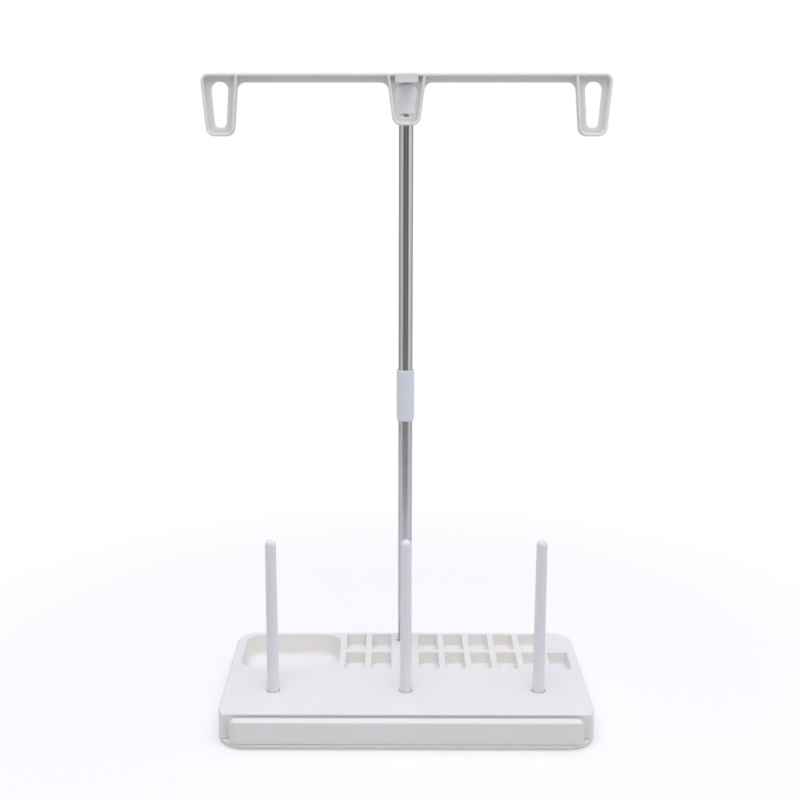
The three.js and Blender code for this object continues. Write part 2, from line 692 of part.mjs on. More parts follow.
// Self-tapping screw, head down in the plate.
function coverScrew([x, y]) {
  const bottom = plateBottom + screwSink;
  const shank = screwShank / 2;
  const head = screwHeadDiameter / 2;
  const top = screwBossBottom + screwReach;
  return turned([
    [0, bottom], [head * 0.7, bottom], [head, bottom + screwHeadHeight * 0.5],
    [head, bottom + screwHeadHeight], [shank, bottom + screwHeadHeight], [shank, top - 2 * shank], [0, top],
  ], x, y, steps.small);
}

const whitePlastic = new THREE.MeshStandardMaterial({ color: 0xe9e8ee, roughness: 0.35, metalness: 0 });
const creamPlastic = new THREE.MeshStandardMaterial({ color: 0xe6e4da, roughness: 0.4, metalness: 0 });
const steel = new THREE.MeshStandardMaterial({ color: 0xb4b4b4, roughness: 0.28, metalness: 1 });
const zinc = new THREE.MeshStandardMaterial({ color: 0xc4c4c0, roughness: 0.4, metalness: 1 });
const rubber = new THREE.MeshStandardMaterial({ color: 0x9a9a9a, roughness: 0.85, metalness: 0 });

const base = new THREE.Group();
base.add(mesh('base_plate', basePlate(), whitePlastic));
base.add(mesh('base_cover', baseCover(), whitePlastic));
base.add(mesh('drawer', drawer(), whitePlastic));
screwSpots.forEach((spot, i) => base.add(mesh(`cover_screw_${i + 1}`, coverScrew(spot), zinc)));
Object.entries(footSpots).forEach(([place, spot]) => base.add(mesh(`foot_${place}`, foot(spot), rubber)));

const pins = new THREE.Group();
pins.add(mesh('spool_pin_left', spoolPin(-pinX), whitePlastic));
pins.add(mesh('spool_pin_centre', spoolPin(0), whitePlastic));
pins.add(mesh('spool_pin_right', spoolPin(pinX), whitePlastic));

const mast = new THREE.Group();
mast.add(mesh('lower_tube', tube(lowerTubeBottom, lowerTubeTop), steel));
mast.add(mesh('coupling_sleeve', couplingSleeve(), whitePlastic));
mast.add(mesh('upper_tube', tube(upperTubeBottom, upperTubeTop), steel));
mast.add(mesh('mast_head', mastHead(), whitePlastic));
mast.add(mesh('guide_bar', guideBar(), creamPlastic));

const spoolStand = new THREE.Group();
spoolStand.add(base, pins, mast);

export default spoolStand;
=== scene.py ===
# Stand for thread spools and cones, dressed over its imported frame, +Z up, with the front
# towards -Y. Camera, lights and table are in metres, the sizes of the pieces in millimetres.
import math

import bmesh
import bpy
from mathutils import Matrix, Vector


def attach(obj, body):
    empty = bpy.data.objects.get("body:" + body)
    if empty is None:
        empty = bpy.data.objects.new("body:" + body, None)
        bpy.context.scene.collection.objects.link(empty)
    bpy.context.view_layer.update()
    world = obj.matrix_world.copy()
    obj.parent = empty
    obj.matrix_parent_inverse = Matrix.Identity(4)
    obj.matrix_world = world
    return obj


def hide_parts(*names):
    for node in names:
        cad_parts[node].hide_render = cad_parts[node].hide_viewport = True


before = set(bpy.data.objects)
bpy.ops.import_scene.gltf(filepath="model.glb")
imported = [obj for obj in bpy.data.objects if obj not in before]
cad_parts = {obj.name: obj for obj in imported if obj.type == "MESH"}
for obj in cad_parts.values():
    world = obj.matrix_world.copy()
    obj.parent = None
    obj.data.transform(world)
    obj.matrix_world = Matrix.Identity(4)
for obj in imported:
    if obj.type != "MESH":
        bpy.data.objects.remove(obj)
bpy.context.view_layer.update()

scene = bpy.context.scene


# Camera
# It stands 0.76 m before the middle of the base and 0.40 m above the table, and looks 11.5
# degrees down. The small shift is the photograph's framing.
camera_lens = 54.72
camera_spot = (-0.0086, -0.76415, 0.39777)
camera_pitch = math.radians(11.477)
camera_turn = math.radians(0.238)
camera_shift = (0.015, -0.06)
sensor_width = 36.0

camera_data = bpy.data.cameras.new("camera")
camera_data.lens = camera_lens
camera_data.sensor_width = sensor_width
camera_data.shift_x, camera_data.shift_y = camera_shift
camera = bpy.data.objects.new("camera", camera_data)
scene.collection.objects.link(camera)
tilted = Matrix.Rotation(math.pi / 2 - camera_pitch, 4, "X")
facing = Matrix.Rotation(camera_turn, 4, "Z") @ tilted
camera.matrix_world = Matrix.Translation(camera_spot) @ facing
scene.camera = camera
scene.view_settings.view_transform = "Standard"


# Studio light
# A white tent: even light all round, wide soft boxes overhead and high in front, and a weak
# one on the right. Shiny pieces also see the dim side of the room behind the camera and a
# greyer back wall.
tent_light = 0.37
tent_tint = (0.98, 1.0, 1.02)
tent_middle = 0.8
tent_sides = 0.7
tent_floor = 3.5
room_greys = [(0.0, 0.28), (0.035, 0.13), (0.1, 0.11), (0.2, 1.0), (0.32, 1.05), (0.62, 0.62),
              (0.86, 0.42), (1.0, 0.42)]
room_floor_grey = 0.45
room_to_right = 0.12
overhead_watts = 14.9
front_watts = 6.0
right_watts = 1.6


def add_node(tree, kind, settings=None, inputs=None):
    """A node with its settings, and its inputs as values or as sockets to link."""
    node = tree.nodes.new(kind)
    for name, value in (settings or {}).items():
        setattr(node, name, value)
    for name, value in (inputs or {}).items():
        if isinstance(value, bpy.types.NodeSocket):
            tree.links.new(value, node.inputs[name])
        else:
            node.inputs[name].default_value = value
    return node


def maths(tree, operation, *operands):
    """The output of one math node."""
    inputs = dict(enumerate(operands))
    return add_node(tree, "ShaderNodeMath", {"operation": operation}, inputs).outputs[0]


def mixed_colour(tree, factor, first, second):
    """The first colour where factor is 0, the second where it is 1."""
    inputs = {0: factor, 6: first, 7: second}
    return add_node(tree, "ShaderNodeMix", {"data_type": "RGBA"}, inputs).outputs[2]


def scaled(tree, colour, factor):
    """A colour times a number."""
    inputs = {0: colour, "Scale": factor}
    return add_node(tree, "ShaderNodeVectorMath", {"operation": "SCALE"}, inputs).outputs[0]


def ranged(tree, value, start, end, first=0.0, last=1.0, interpolation="LINEAR"):
    """A value that goes from first to last while the given one goes from start to end."""
    inputs = {"Value": value, "From Min": start, "From Max": end, "To Min": first, "To Max": last}
    settings = {"interpolation_type": interpolation}
    return add_node(tree, "ShaderNodeMapRange", settings, inputs).outputs[0]


def grey(level):
    return (level, level, level, 1.0)


def grey_ramp(tree, factor, stops):
    """Greys over factor, the stops given as (position, level)."""
    node = add_node(tree, "ShaderNodeValToRGB", None, {0: factor})
    elements = node.color_ramp.elements
    while len(elements) < len(stops):
        elements.new(0.5)
    for element, (position, level) in zip(elements, stops):
        element.position = position
        element.color = grey(level)
    return node.outputs[0]


world = bpy.data.worlds.new("studio")
scene.world = world
world.use_nodes = True
tent = world.node_tree
direction = add_node(tent, "ShaderNodeTexCoord").outputs["Generated"]
toward = add_node(tent, "ShaderNodeSeparateXYZ", None, {0: direction})
front_to_back = maths(tent, "MULTIPLY_ADD", toward.outputs[1], 0.5, 0.5)
room = grey_ramp(tent, front_to_back, room_greys)
left_to_right = maths(tent, "MULTIPLY_ADD", toward.outputs[0], room_to_right, 1.0)
room = scaled(tent, room, left_to_right)
low = ranged(tent, toward.outputs[2], -0.25, 0.0, 0.3, 0.0)
room = mixed_colour(tent, low, room, grey(room_floor_grey))
sideways = maths(tent, "MULTIPLY", toward.outputs[0], toward.outputs[0])
side_gain = maths(tent, "MULTIPLY_ADD", sideways, tent_sides, tent_middle)
tent_gain = maths(tent, "MULTIPLY_ADD", low, tent_floor, side_gain)
soft = scaled(tent, [tent_light * part for part in tent_tint], tent_gain)
ray = add_node(tent, "ShaderNodeLightPath").outputs
mirrored = maths(tent, "MAXIMUM", ray["Is Glossy Ray"], ray["Is Transmission Ray"])
lit = mixed_colour(tent, mirrored, soft, room)
backdrop = mixed_colour(tent, ray["Is Camera Ray"], lit, grey(1.0))
tent.links.new(backdrop, tent.nodes["Background"].inputs["Color"])


def soft_box(name, spot, aim, width, height, watts, colour):
    """A wide lamp that neither the camera nor shiny pieces see."""
    data = bpy.data.lights.new(name, "AREA")
    data.shape = "RECTANGLE"
    data.size = width
    data.size_y = height
    data.energy = watts
    data.color = colour
    lamp = bpy.data.objects.new(name, data)
    scene.collection.objects.link(lamp)
    lamp.location = spot
    lamp.rotation_euler = (Vector(aim) - Vector(spot)).to_track_quat("-Z", "Y").to_euler()
    lamp.visible_camera = False
    lamp.visible_glossy = False


soft_box("overhead", (0.0, 0.05, 1.35), (0.0, 0.0, 0.0), 1.7, 1.7, overhead_watts, (0.735, 0.745, 1.0))
soft_box("front_high", (0.0, -0.85, 1.3), (0.0, 0.0, 0.1), 1.4, 0.9, front_watts, (0.98, 0.99, 1.0))
soft_box("right_side", (1.2, -0.5, 0.6), (0.0, 0.0, 0.2), 0.8, 1.2, right_watts, (1.0, 1.0, 1.0))


# Table
# A plain white sheet. The camera sees it white with the soft shadow of the stand on it,
# and it gives the stand the bounce of a pale table. Shiny pieces see painted greys on it
# instead, a painted reflection that is darkest at the front and brightest just before the stand.
table_half = 0.6
table_bounce = 0.6
# Painted reflection: the greys that shiny pieces see on the table, from its front edge to its back edge.
painted_table_reflection = [(0.0, 0.44), (0.15, 0.42), (0.26, 0.52), (0.33, 0.86), (0.42, 1.0), (0.55, 0.84),
               (0.73, 0.72), (0.9, 0.8)]
table_seen = (1.0, 0.99, 0.94, 1.0)
fade_from = 0.2
fade_to = 0.45
least_fade = 0.4

table_mesh = bpy.data.meshes.new("table")
signs = [(-1, -1), (1, -1), (1, 1), (-1, 1)]
table_corners = [(x * table_half, y * table_half, 0.0) for x, y in signs]
table_mesh.from_pydata(table_corners, [], [(0, 1, 2, 3)])
table = bpy.data.objects.new("table", table_mesh)
scene.collection.objects.link(table)

sheet = bpy.data.materials.new("white_table")
sheet.use_nodes = True
nodes = sheet.node_tree
nodes.nodes.clear()
ray = add_node(nodes, "ShaderNodeLightPath").outputs
place = add_node(nodes, "ShaderNodeTexCoord").outputs["Object"]
away = add_node(nodes, "ShaderNodeVectorMath", {"operation": "LENGTH"}, {0: place}).outputs["Value"]
far_white = ranged(nodes, away, fade_from, fade_to, least_fade, 1.0, "SMOOTHSTEP")
apart = add_node(nodes, "ShaderNodeSeparateXYZ", None, {0: place})
along_table = maths(nodes, "MULTIPLY_ADD", apart.outputs[1], 0.5 / table_half, 0.5)
# Painted reflection greys along the table's depth, seen by glossy rays only.
painted_reflection_grey = grey_ramp(nodes, along_table, painted_table_reflection)
bounced = mixed_colour(nodes, ray["Is Glossy Ray"], grey(table_bounce), painted_reflection_grey)
sheet_colour = mixed_colour(nodes, ray["Is Camera Ray"], bounced, table_seen)
matt = add_node(nodes, "ShaderNodeBsdfDiffuse", None, {"Color": sheet_colour})
white = add_node(nodes, "ShaderNodeEmission", None, {"Color": grey(1.0), "Strength": 1.0})
fade = maths(nodes, "MULTIPLY", far_white, ray["Is Camera Ray"])
both = add_node(nodes, "ShaderNodeMixShader", None,
                {0: fade, 1: matt.outputs[0], 2: white.outputs[0]})
add_node(nodes, "ShaderNodeOutputMaterial", None, {"Surface": both.outputs[0]})
table_mesh.materials.append(sheet)


# Bottom plate
# Flat white moulding that closes the base from below. It has a low lip inside the cover
# walls, two runners that guide the drawer and a collar round each screw hole.
mm = 0.001
seam = 0.3
base_half_width = 120.0
base_half_depth = 65.0
base_corners_round = (18.0, 18.0, 15.0, 15.0)
front_ledge = 7.9
plate_bottom = 1.2
plate_top = 3.8
plate_edge_round = 0.7
plate_top_round = 0.3
lip_inset = 2.8
lip_thickness = 1.4
lip_top = 5.0
lip_front = 13.6
runner_inner = 111.3
runner_thickness = 1.6
runner_front = -49.1
runner_back = -4.0
runner_top = 8.8
outer_screw_x = 112.0
inner_screw_x = 40.0
screw_row_y = 0.8
middle_screw_y = 19.6
corner_screw = (106.65, 48.9)
screw_hole = 1.7
screw_collar = 3.5
screw_collar_top = 5.3
screw_seat = 3.4
screw_head_bore = 3.2
foot_x = 88.0
foot_y = 48.0
foot_recess = 7.3
foot_recess_top = 2.1
past_side = 130.0
past_front = -80.0
past_plate = 8.0


def outline(corners, inset=0.0, finer=4.0):
    """Closed outline with rounded corners (x, y, radius), counterclockwise, moved inwards by
    inset. A corner's arc has finer steps for each root of its radius."""
    points = []
    for i, (x, y, radius) in enumerate(corners):
        spot = Vector((x, y))
        along = (spot - Vector(corners[i - 1][:2])).normalized()
        onward = (Vector(corners[(i + 1) % len(corners)][:2]) - spot).normalized()
        normal = Vector((-along.y, along.x))
        next_normal = Vector((-onward.y, onward.x))
        corner = spot + (normal + next_normal) * (inset / (1 + normal.dot(next_normal)))
        if radius == 0:
            points.append(corner)
            continue
        turn = math.atan2(along.x * onward.y - along.y * onward.x, along.dot(onward))
        side = math.copysign(1.0, turn)
        bend = max(radius - side * inset, 0.1)
        centre = corner - along * (bend * math.tan(abs(turn) / 2)) + normal * (side * bend)
        count = max(4, round(finer * math.sqrt(radius)))
        for k in range(count + 1):
            spoke = normal * (-side * bend)
            spoke.rotate(Matrix.Rotation(turn * k / count, 2))
            points.append(centre + spoke)
    return points


def solid(points, faces):
    """Closed mesh of points in millimetres, its faces turned outwards."""
    mesh = bpy.data.meshes.new("solid")
    mesh.from_pydata([(x * mm, y * mm, z * mm) for x, y, z in points], [], faces)
    shape = bmesh.new()
    shape.from_mesh(mesh)
    bmesh.ops.recalc_face_normals(shape, faces=shape.faces)
    shape.to_mesh(mesh)
    shape.free()
    return mesh


def skinned(rings):
    """Closed mesh through rings of equal counts of points, capped at both ends."""
    count = len(rings[0])
    last = (len(rings) - 1) * count
    faces = [tuple(range(count - 1, -1, -1)), tuple(range(last, last + count))]
    for low in range(0, last, count):
        for j in range(count):
            k = (j + 1) % count
            faces.append((low + j, low + k, low + count + k, low + count + j))
    return solid([point for ring in rings for point in ring], faces)


def loft(corners, levels, finer=4.0):
    """Solid between copies of one outline, each level given as (height, inset)."""
    return skinned([[(p.x, p.y, z) for p in outline(corners, inset, finer)] for z, inset in levels])


def arc(steps, degrees=90.0):
    """The steps of a rounded edge as (falling, rising) shares of its radius."""
    turns = [math.radians(degrees) * k / steps for k in range(steps + 1)]
    return [(1 - math.sin(turn), 1 - math.cos(turn)) for turn in turns]


def wall_levels(bottom, top, bottom_round=0.0, top_round=0.0, steps=6):
    """Levels of a wall from bottom to top whose edges are rounded by quarter arcs."""
    foot = [(bottom + bottom_round * rising, bottom_round * falling) for falling, rising in arc(steps)]
    head = [(top - top_round * falling, top_round * rising) for falling, rising in arc(steps)]
    return (foot if bottom_round else [(bottom, 0.0)]) + (head if top_round else [(top, 0.0)])


def rectangle(left, right, front, back, rounds=(0, 0, 0, 0)):
    """Corners of an outline, from the front left one on."""
    return [(left, front, rounds[0]), (right, front, rounds[1]), (right, back, rounds[2]),
            (left, back, rounds[3])]


def block(left, right, front, back, bottom, top):
    return loft(rectangle(left, right, front, back), [(bottom, 0), (top, 0)])


def turned(profile, x=0.0, y=0.0, around=64, closed=False):
    """Solid turned about the vertical through x, y. A profile is (radius, height) points, and
    a closed one is a tube's wall. Points on the axis become one vertex."""
    points = []
    rings = []
    for radius, height in profile:
        if radius < 1e-6:
            rings.append([len(points)] * around)
            points.append((x, y, height))
            continue
        rings.append(list(range(len(points), len(points) + around)))
        for j in range(around):
            angle = 2 * math.pi * j / around
            points.append((x + radius * math.cos(angle), y + radius * math.sin(angle), height))
    faces = []
    pairs = list(zip(rings, rings[1:]))
    if closed:
        pairs.append((rings[-1], rings[0]))
    for low, high in pairs:
        for j in range(around):
            k = (j + 1) % around
            corners = [low[j], low[k], high[k], high[j]]
            face = [c for i, c in enumerate(corners) if c not in corners[:i]]
            if len(face) > 2:
                faces.append(tuple(face))
    return solid(points, faces)


def disc(radius, bottom, top, x, y, around=48):
    return turned([(0, bottom), (radius, bottom), (radius, top), (0, top)], x, y, around)


def together(meshes):
    """One mesh of several that don't touch."""
    shape = bmesh.new()
    for mesh in meshes:
        shape.from_mesh(mesh)
    result = bpy.data.meshes.new("solid")
    shape.to_mesh(result)
    shape.free()
    return result


def evaluated(worker):
    """Plain mesh of an object with its modifiers, which is then removed."""
    scene.collection.objects.link(worker)
    finished = worker.evaluated_get(bpy.context.evaluated_depsgraph_get())
    result = bpy.data.meshes.new_from_object(finished)
    bpy.data.objects.remove(worker)
    return result


def boolean(body, other, operation):
    """One closed mesh made of two."""
    tool = bpy.data.objects.new("tool", other)
    scene.collection.objects.link(tool)
    worker = bpy.data.objects.new("worker", body)
    modifier = worker.modifiers.new("shape", "BOOLEAN")
    modifier.operation = operation
    modifier.solver = "MANIFOLD"
    modifier.object = tool
    result = evaluated(worker)
    bpy.data.objects.remove(tool)
    return result


def joined(meshes):
    body = meshes[0]
    for other in meshes[1:]:
        body = boolean(body, other, "UNION")
    return body


def without(body, *cutters):
    for cutter in cutters:
        body = boolean(body, cutter, "DIFFERENCE")
    return body


def placed(name, mesh, material, body, nodes_replaced):
    """The finished piece: smooth where it is rounded, flat faces kept flat, dressed and fixed
    to its body of the frame in place of its CAD nodes."""
    mesh.materials.clear()
    mesh.materials.append(material)
    mesh.polygons.foreach_set("material_index", [0] * len(mesh.polygons))
    mesh.shade_smooth()
    mesh.set_sharp_from_angle(angle=math.radians(35.0))
    worker = bpy.data.objects.new("worker", mesh)
    flats = worker.modifiers.new("flats", "WEIGHTED_NORMAL")
    flats.keep_sharp = True
    piece = bpy.data.objects.new(name, evaluated(worker))
    piece.data.name = name
    scene.collection.objects.link(piece)
    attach(piece, body)
    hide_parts(*nodes_replaced)


def surface_group(name, numbers, colours):
    """A finish that several materials share: a shader group that puts out a colour, a
    roughness and a height. With it come its own inputs."""
    group = bpy.data.node_groups.new(name, "ShaderNodeTree")
    sockets = group.interface
    for label, value in numbers.items():
        socket = sockets.new_socket(label, in_out="INPUT", socket_type="NodeSocketFloat")
        socket.default_value = value
    for label in colours:
        sockets.new_socket(label, in_out="INPUT", socket_type="NodeSocketColor")
    sockets.new_socket("Colour", in_out="OUTPUT", socket_type="NodeSocketColor")
    for label in ("Roughness", "Height"):
        sockets.new_socket(label, in_out="OUTPUT", socket_type="NodeSocketFloat")
    return group, add_node(group, "NodeGroupInput").outputs


def surfaced(name, group, values, bump_strength, bump_depth):
    """A material that wears a shared finish, bump_depth in mm, and its shader."""
    material = bpy.data.materials.new(name)
    material.use_nodes = True
    tree = material.node_tree
    surface = add_node(tree, "ShaderNodeGroup", {"node_tree": group}, values).outputs
    bump = add_node(tree, "ShaderNodeBump", None, {
        "Height": surface["Height"], "Strength": bump_strength, "Distance": bump_depth * mm})
    shader = tree.nodes["Principled BSDF"]
    tree.links.new(surface["Colour"], shader.inputs["Base Color"])
    tree.links.new(surface["Roughness"], shader.inputs["Roughness"])
    tree.links.new(bump.outputs[0], shader.inputs["Normal"])
    return material, shader


def noise(tree, place, scale, detail, roughness=0.5):
    """Cloudy noise with the given size and detail."""
    inputs = {"Vector": place, "Scale": scale, "Detail": detail, "Roughness": roughness}
    return add_node(tree, "ShaderNodeTexNoise", None, inputs).outputs[0]


# The finish of every injection moulding here: faint cloudy flow in the colour, a fine
# orange peel, and a sheen that is a little uneven from handling.
moulded, given = surface_group(
    "moulded_surface", {"Cloud Size": 16.0, "Peel Size": 700.0, "Roughness": 0.36, "Unevenness": 0.1},
    ("Colour", "Flow Colour"))
place = add_node(moulded, "ShaderNodeTexCoord").outputs["Object"]
cloud = noise(moulded, place, given["Cloud Size"], 3.0, 0.55)
cloud_part = ranged(moulded, cloud, 0.3, 0.72, interpolation="SMOOTHSTEP")
flow = mixed_colour(moulded, cloud_part, given["Colour"], given["Flow Colour"])
peel = noise(moulded, place, given["Peel Size"], 2.0)
rub = noise(moulded, place, maths(moulded, "MULTIPLY", given["Cloud Size"], 5.0), 4.0)
rub = maths(moulded, "SUBTRACT", rub, 0.5)
uneven = maths(moulded, "MULTIPLY", rub, given["Unevenness"])
sheen = maths(moulded, "ADD", given["Roughness"], uneven)
add_node(moulded, "NodeGroupOutput", None, {"Colour": flow, "Roughness": sheen, "Height": peel})


def moulded_plastic(name, colour, flow_colour, roughness, peel_depth, glow=0.15):
    """A moulded plastic, peel_depth being the peel's height in mm and glow the share of light
    that wanders under the skin."""
    values = {"Colour": (*colour, 1.0), "Flow Colour": (*flow_colour, 1.0), "Roughness": roughness}
    material, shader = surfaced(name, moulded, values, 0.35, peel_depth)
    shader.inputs["IOR"].default_value = 1.49
    shader.inputs["Subsurface Weight"].default_value = glow
    shader.inputs["Subsurface Radius"].default_value = (1.0, 0.75, 0.5)
    shader.inputs["Subsurface Scale"].default_value = 3 * mm
    return material


white_plastic = moulded_plastic(
    "white_moulded_plastic", (0.91, 0.885, 0.825), (0.89, 0.865, 0.805), 0.38, 0.05)

row_screws = (-outer_screw_x, -inner_screw_x, inner_screw_x, outer_screw_x)
screw_spots = [(x, screw_row_y) for x in row_screws] + [(0.0, middle_screw_y), corner_screw]
foot_spots = [(x, y) for y in (-foot_y, foot_y) for x in (-foot_x, foot_x)]
base_outline = rectangle(-base_half_width, base_half_width, -base_half_depth, base_half_depth,
                         base_corners_round)
plate_root = plate_top - plate_edge_round
slab_levels = wall_levels(plate_bottom, plate_top, plate_edge_round, plate_top_round, 4)
slab = loft(base_outline, slab_levels, 6.0)
lip_levels = [(plate_root, lip_inset), (lip_top - 0.3, lip_inset), (lip_top, lip_inset + 0.3)]
lip = without(
    loft(base_outline, lip_levels),
    loft(base_outline, [(z, lip_inset + lip_thickness) for z in (plate_root - 1, lip_top + 1)]),
    block(-past_side, past_side, past_front, lip_front, 0, past_plate),
)
runners = [block(*sorted((side * runner_inner, side * (runner_inner + runner_thickness))),
                 runner_front, runner_back, plate_root, runner_top) for side in (-1, 1)]
collars = [disc(screw_collar, plate_root, screw_collar_top, x, y) for x, y in screw_spots]
hole_profile = [
    (0, 0), (screw_head_bore + 0.3, 0), (screw_head_bore + 0.3, plate_bottom),
    (screw_head_bore, plate_bottom + 0.3), (screw_head_bore, screw_seat), (screw_hole, screw_seat),
    (screw_hole, past_plate), (0, past_plate),
]
screw_holes = together([turned(hole_profile, x, y, 40) for x, y in screw_spots])
foot_recesses = together([disc(foot_recess, 0, foot_recess_top, x, y, 64) for x, y in foot_spots])
plate = without(joined([slab, lip, together(runners), together(collars)]), screw_holes, foot_recesses)
placed("bottom_plate_moulding", plate, white_plastic, "stand_base", ["base_plate"])


# Cover
# White moulded shell that carries everything: a deck with fifteen bobbin cells, a pocket
# for small tools, three pin sockets and the mast socket, open in front for the drawer.
cover_bottom = 4.1
deck_top = 20.8
deck_under = 18.6
deck_under_round = 1.0
past_deck = 24.0
before_base = -90.0
deck_edge_round = 1.6
deck_front_round = 0.7
cover_wall = 2.5
cover_front = -base_half_depth + front_ledge
inner_wall = 1.5
hollow_bottom = 2.8
frame_back = cover_front + 2.2
frame_opening = 111.3
frame_lip = 17.1
cell_width = 13.7
cell_length = 25.0
cell_pitch = 18.0
row_pitch = 29.3
first_column = 16.5
left_columns = 2
right_columns = 6
corner_limit = 100.0
cell_back = 61.4
cell_floor = 12.5
cell_corner_round = 0.9
cell_lip = 0.35
cell_draft = 0.3
pocket_left = -113.3
pocket_right = -45.65
pocket_front = 7.1
pocket_floor = 5.6
pocket_round = 13.0
pocket_lip = 0.7
pocket_floor_round = 3.0
pocket_draft = 0.7
pin_x = 87.1
pin_y = -24.6
pin_socket = 4.3
pin_socket_floor = 13.6
pin_boss = 6.0
pin_boss_bottom = 12.1
gusset = 1.4
gusset_reach = 4.5
mast_y = 51.7
mast_bore = 5.05
mast_hole_floor = 5.7
mast_collar = 7.25
mast_collar_top = 21.6
screw_boss_bottom = 5.6
screw_pilot_top = 13.9
stop_x = 50.0
stop_half_width = 4.5
rib_top = deck_top - 1.1


def new_tree(name, geometry, sizes, output):
    """A Geometry Nodes tree with its inputs: a geometry, sizes in mm or whole numbers, and a
    material. With it come these inputs."""
    tree = bpy.data.node_groups.new(name, "GeometryNodeTree")
    sockets = tree.interface
    sockets.new_socket(geometry, in_out="INPUT", socket_type="NodeSocketGeometry")
    for label, size in sizes.items():
        whole = isinstance(size, int)
        kind = "NodeSocketInt" if whole else "NodeSocketFloat"
        socket = sockets.new_socket(label, in_out="INPUT", socket_type=kind)
        socket.default_value = size if whole else size * mm
    sockets.new_socket("Material", in_out="INPUT", socket_type="NodeSocketMaterial")
    sockets.new_socket(output, in_out="OUTPUT", socket_type="NodeSocketGeometry")
    return tree, add_node(tree, "NodeGroupInput").outputs


def tree_end(tree, geometry, material):
    """The end of a tree: its instances made real, and their material."""
    real = add_node(tree, "GeometryNodeRealizeInstances", None, {0: geometry})
    dressed = add_node(tree, "GeometryNodeSetMaterial", None,
                       {"Geometry": real.outputs[0], "Material": material})
    add_node(tree, "NodeGroupOutput", None, {0: dressed.outputs[0]})


def end_on_points(tree, points, shape, material):
    """The end of a tree that puts a copy of a shape on each point."""
    inputs = {"Points": points, "Instance": shape}
    tree_end(tree, add_node(tree, "GeometryNodeInstanceOnPoints", None, inputs).outputs[0], material)


def combined(tree, **parts):
    """A vector from those of its x, y and z that aren't 0."""
    inputs = {"XYZ".index(axis): value for axis, value in parts.items()}
    return add_node(tree, "ShaderNodeCombineXYZ", None, inputs).outputs[0]


cell_rows, given = new_tree("bobbin_cell_rows", "Cell", {
    "First Column": first_column, "Column Pitch": cell_pitch, "Left Columns": left_columns,
    "Right Columns": right_columns, "Row Pitch": row_pitch, "Corner Limit": corner_limit}, "Cells")
back_row = add_node(cell_rows, "GeometryNodeJoinGeometry")
for side, count in ((-1.0, "Left Columns"), (1.0, "Right Columns")):
    start = maths(cell_rows, "MULTIPLY", given["First Column"], side)
    step = maths(cell_rows, "MULTIPLY", given["Column Pitch"], side)
    column = add_node(cell_rows, "GeometryNodeMeshLine", None, {
        "Count": given[count], "Start Location": combined(cell_rows, X=start),
        "Offset": combined(cell_rows, X=step)})
    cell_rows.links.new(column.outputs[0], back_row.inputs[0])
row_step = maths(cell_rows, "MULTIPLY", given["Row Pitch"], -1.0)
front_row = add_node(cell_rows, "GeometryNodeTransform", None,
                     {"Geometry": back_row.outputs[0], "Translation": combined(cell_rows, Y=row_step)})
place = add_node(cell_rows, "GeometryNodeInputPosition").outputs[0]
across = add_node(cell_rows, "ShaderNodeSeparateXYZ", None, {0: place}).outputs[0]
in_corner = add_node(cell_rows, "FunctionNodeCompare", None, {0: across, 1: given["Corner Limit"]})
kept_back = add_node(cell_rows, "GeometryNodeDeleteGeometry", None,
                     {"Geometry": back_row.outputs[0], "Selection": in_corner.outputs[0]})
both_rows = add_node(cell_rows, "GeometryNodeJoinGeometry")
cell_rows.links.new(kept_back.outputs[0], both_rows.inputs[0])
cell_rows.links.new(front_row.outputs[0], both_rows.inputs[0])
end_on_points(cell_rows, both_rows.outputs[0], given["Cell"], given["Material"])


def from_tree(mesh, tree, material, sizes={}):
    """Plain mesh that a tree makes of one mesh, with sizes in metres by their names."""
    values = {"Material": material, **sizes}
    worker = bpy.data.objects.new("worker", mesh)
    modifier = worker.modifiers.new("nodes", "NODES")
    modifier.node_group = tree
    for item in tree.interface.items_tree:
        if item.name in values:
            modifier[item.identifier] = values[item.name]
    return evaluated(worker)


def leaning(levels, grow, lean):
    """Levels of a wall moved outwards by grow, which leans in more the deeper it is."""
    return [(z, inset - grow + lean * (deck_top - z)) for z, inset in levels]


def flare_levels(radius, steps=4):
    """The top of a cutter, whose flare rounds the edge of the hole that it makes in the deck."""
    flare = [(deck_top - radius * falling, -radius * rising) for falling, rising in arc(steps, 82)]
    return flare + [(deck_top + 1, -radius - 0.6)]


def cell_set(grow, levels):
    """Fifteen cells, copies of one at the middle of the back row."""
    half = cell_width / 2
    corners = rectangle(-half, half, cell_back - cell_length, cell_back, (cell_corner_round + grow,) * 4)
    lean = cell_draft / (deck_top - cell_floor)
    return from_tree(loft(corners, leaning(levels, grow, lean)), cell_rows, white_plastic)


cell_cutter = cell_set(0, wall_levels(cell_floor, deck_top - 3, 0.6)[:-1] + flare_levels(cell_lip))
cell_foot = cell_floor - inner_wall
cell_shells = cell_set(inner_wall, [(cell_foot, 0.5), (cell_foot + 0.5, 0), (rib_top, 0)])

pocket_outline = rectangle(pocket_left, pocket_right, pocket_front, cell_back, (pocket_round,) * 4)
pocket_lean = pocket_draft / (deck_top - pocket_floor)
pocket_levels = wall_levels(pocket_floor, deck_top - 3, pocket_floor_round, 0, 9)[:-1]
pocket_levels += flare_levels(pocket_lip, 6)
pocket_cutter = loft(pocket_outline, leaning(pocket_levels, 0, pocket_lean), 6.0)
pocket_levels = wall_levels(pocket_floor - inner_wall, rib_top, pocket_floor_round + inner_wall)
pocket_shell = loft(pocket_outline, leaning(pocket_levels, inner_wall, pocket_lean))

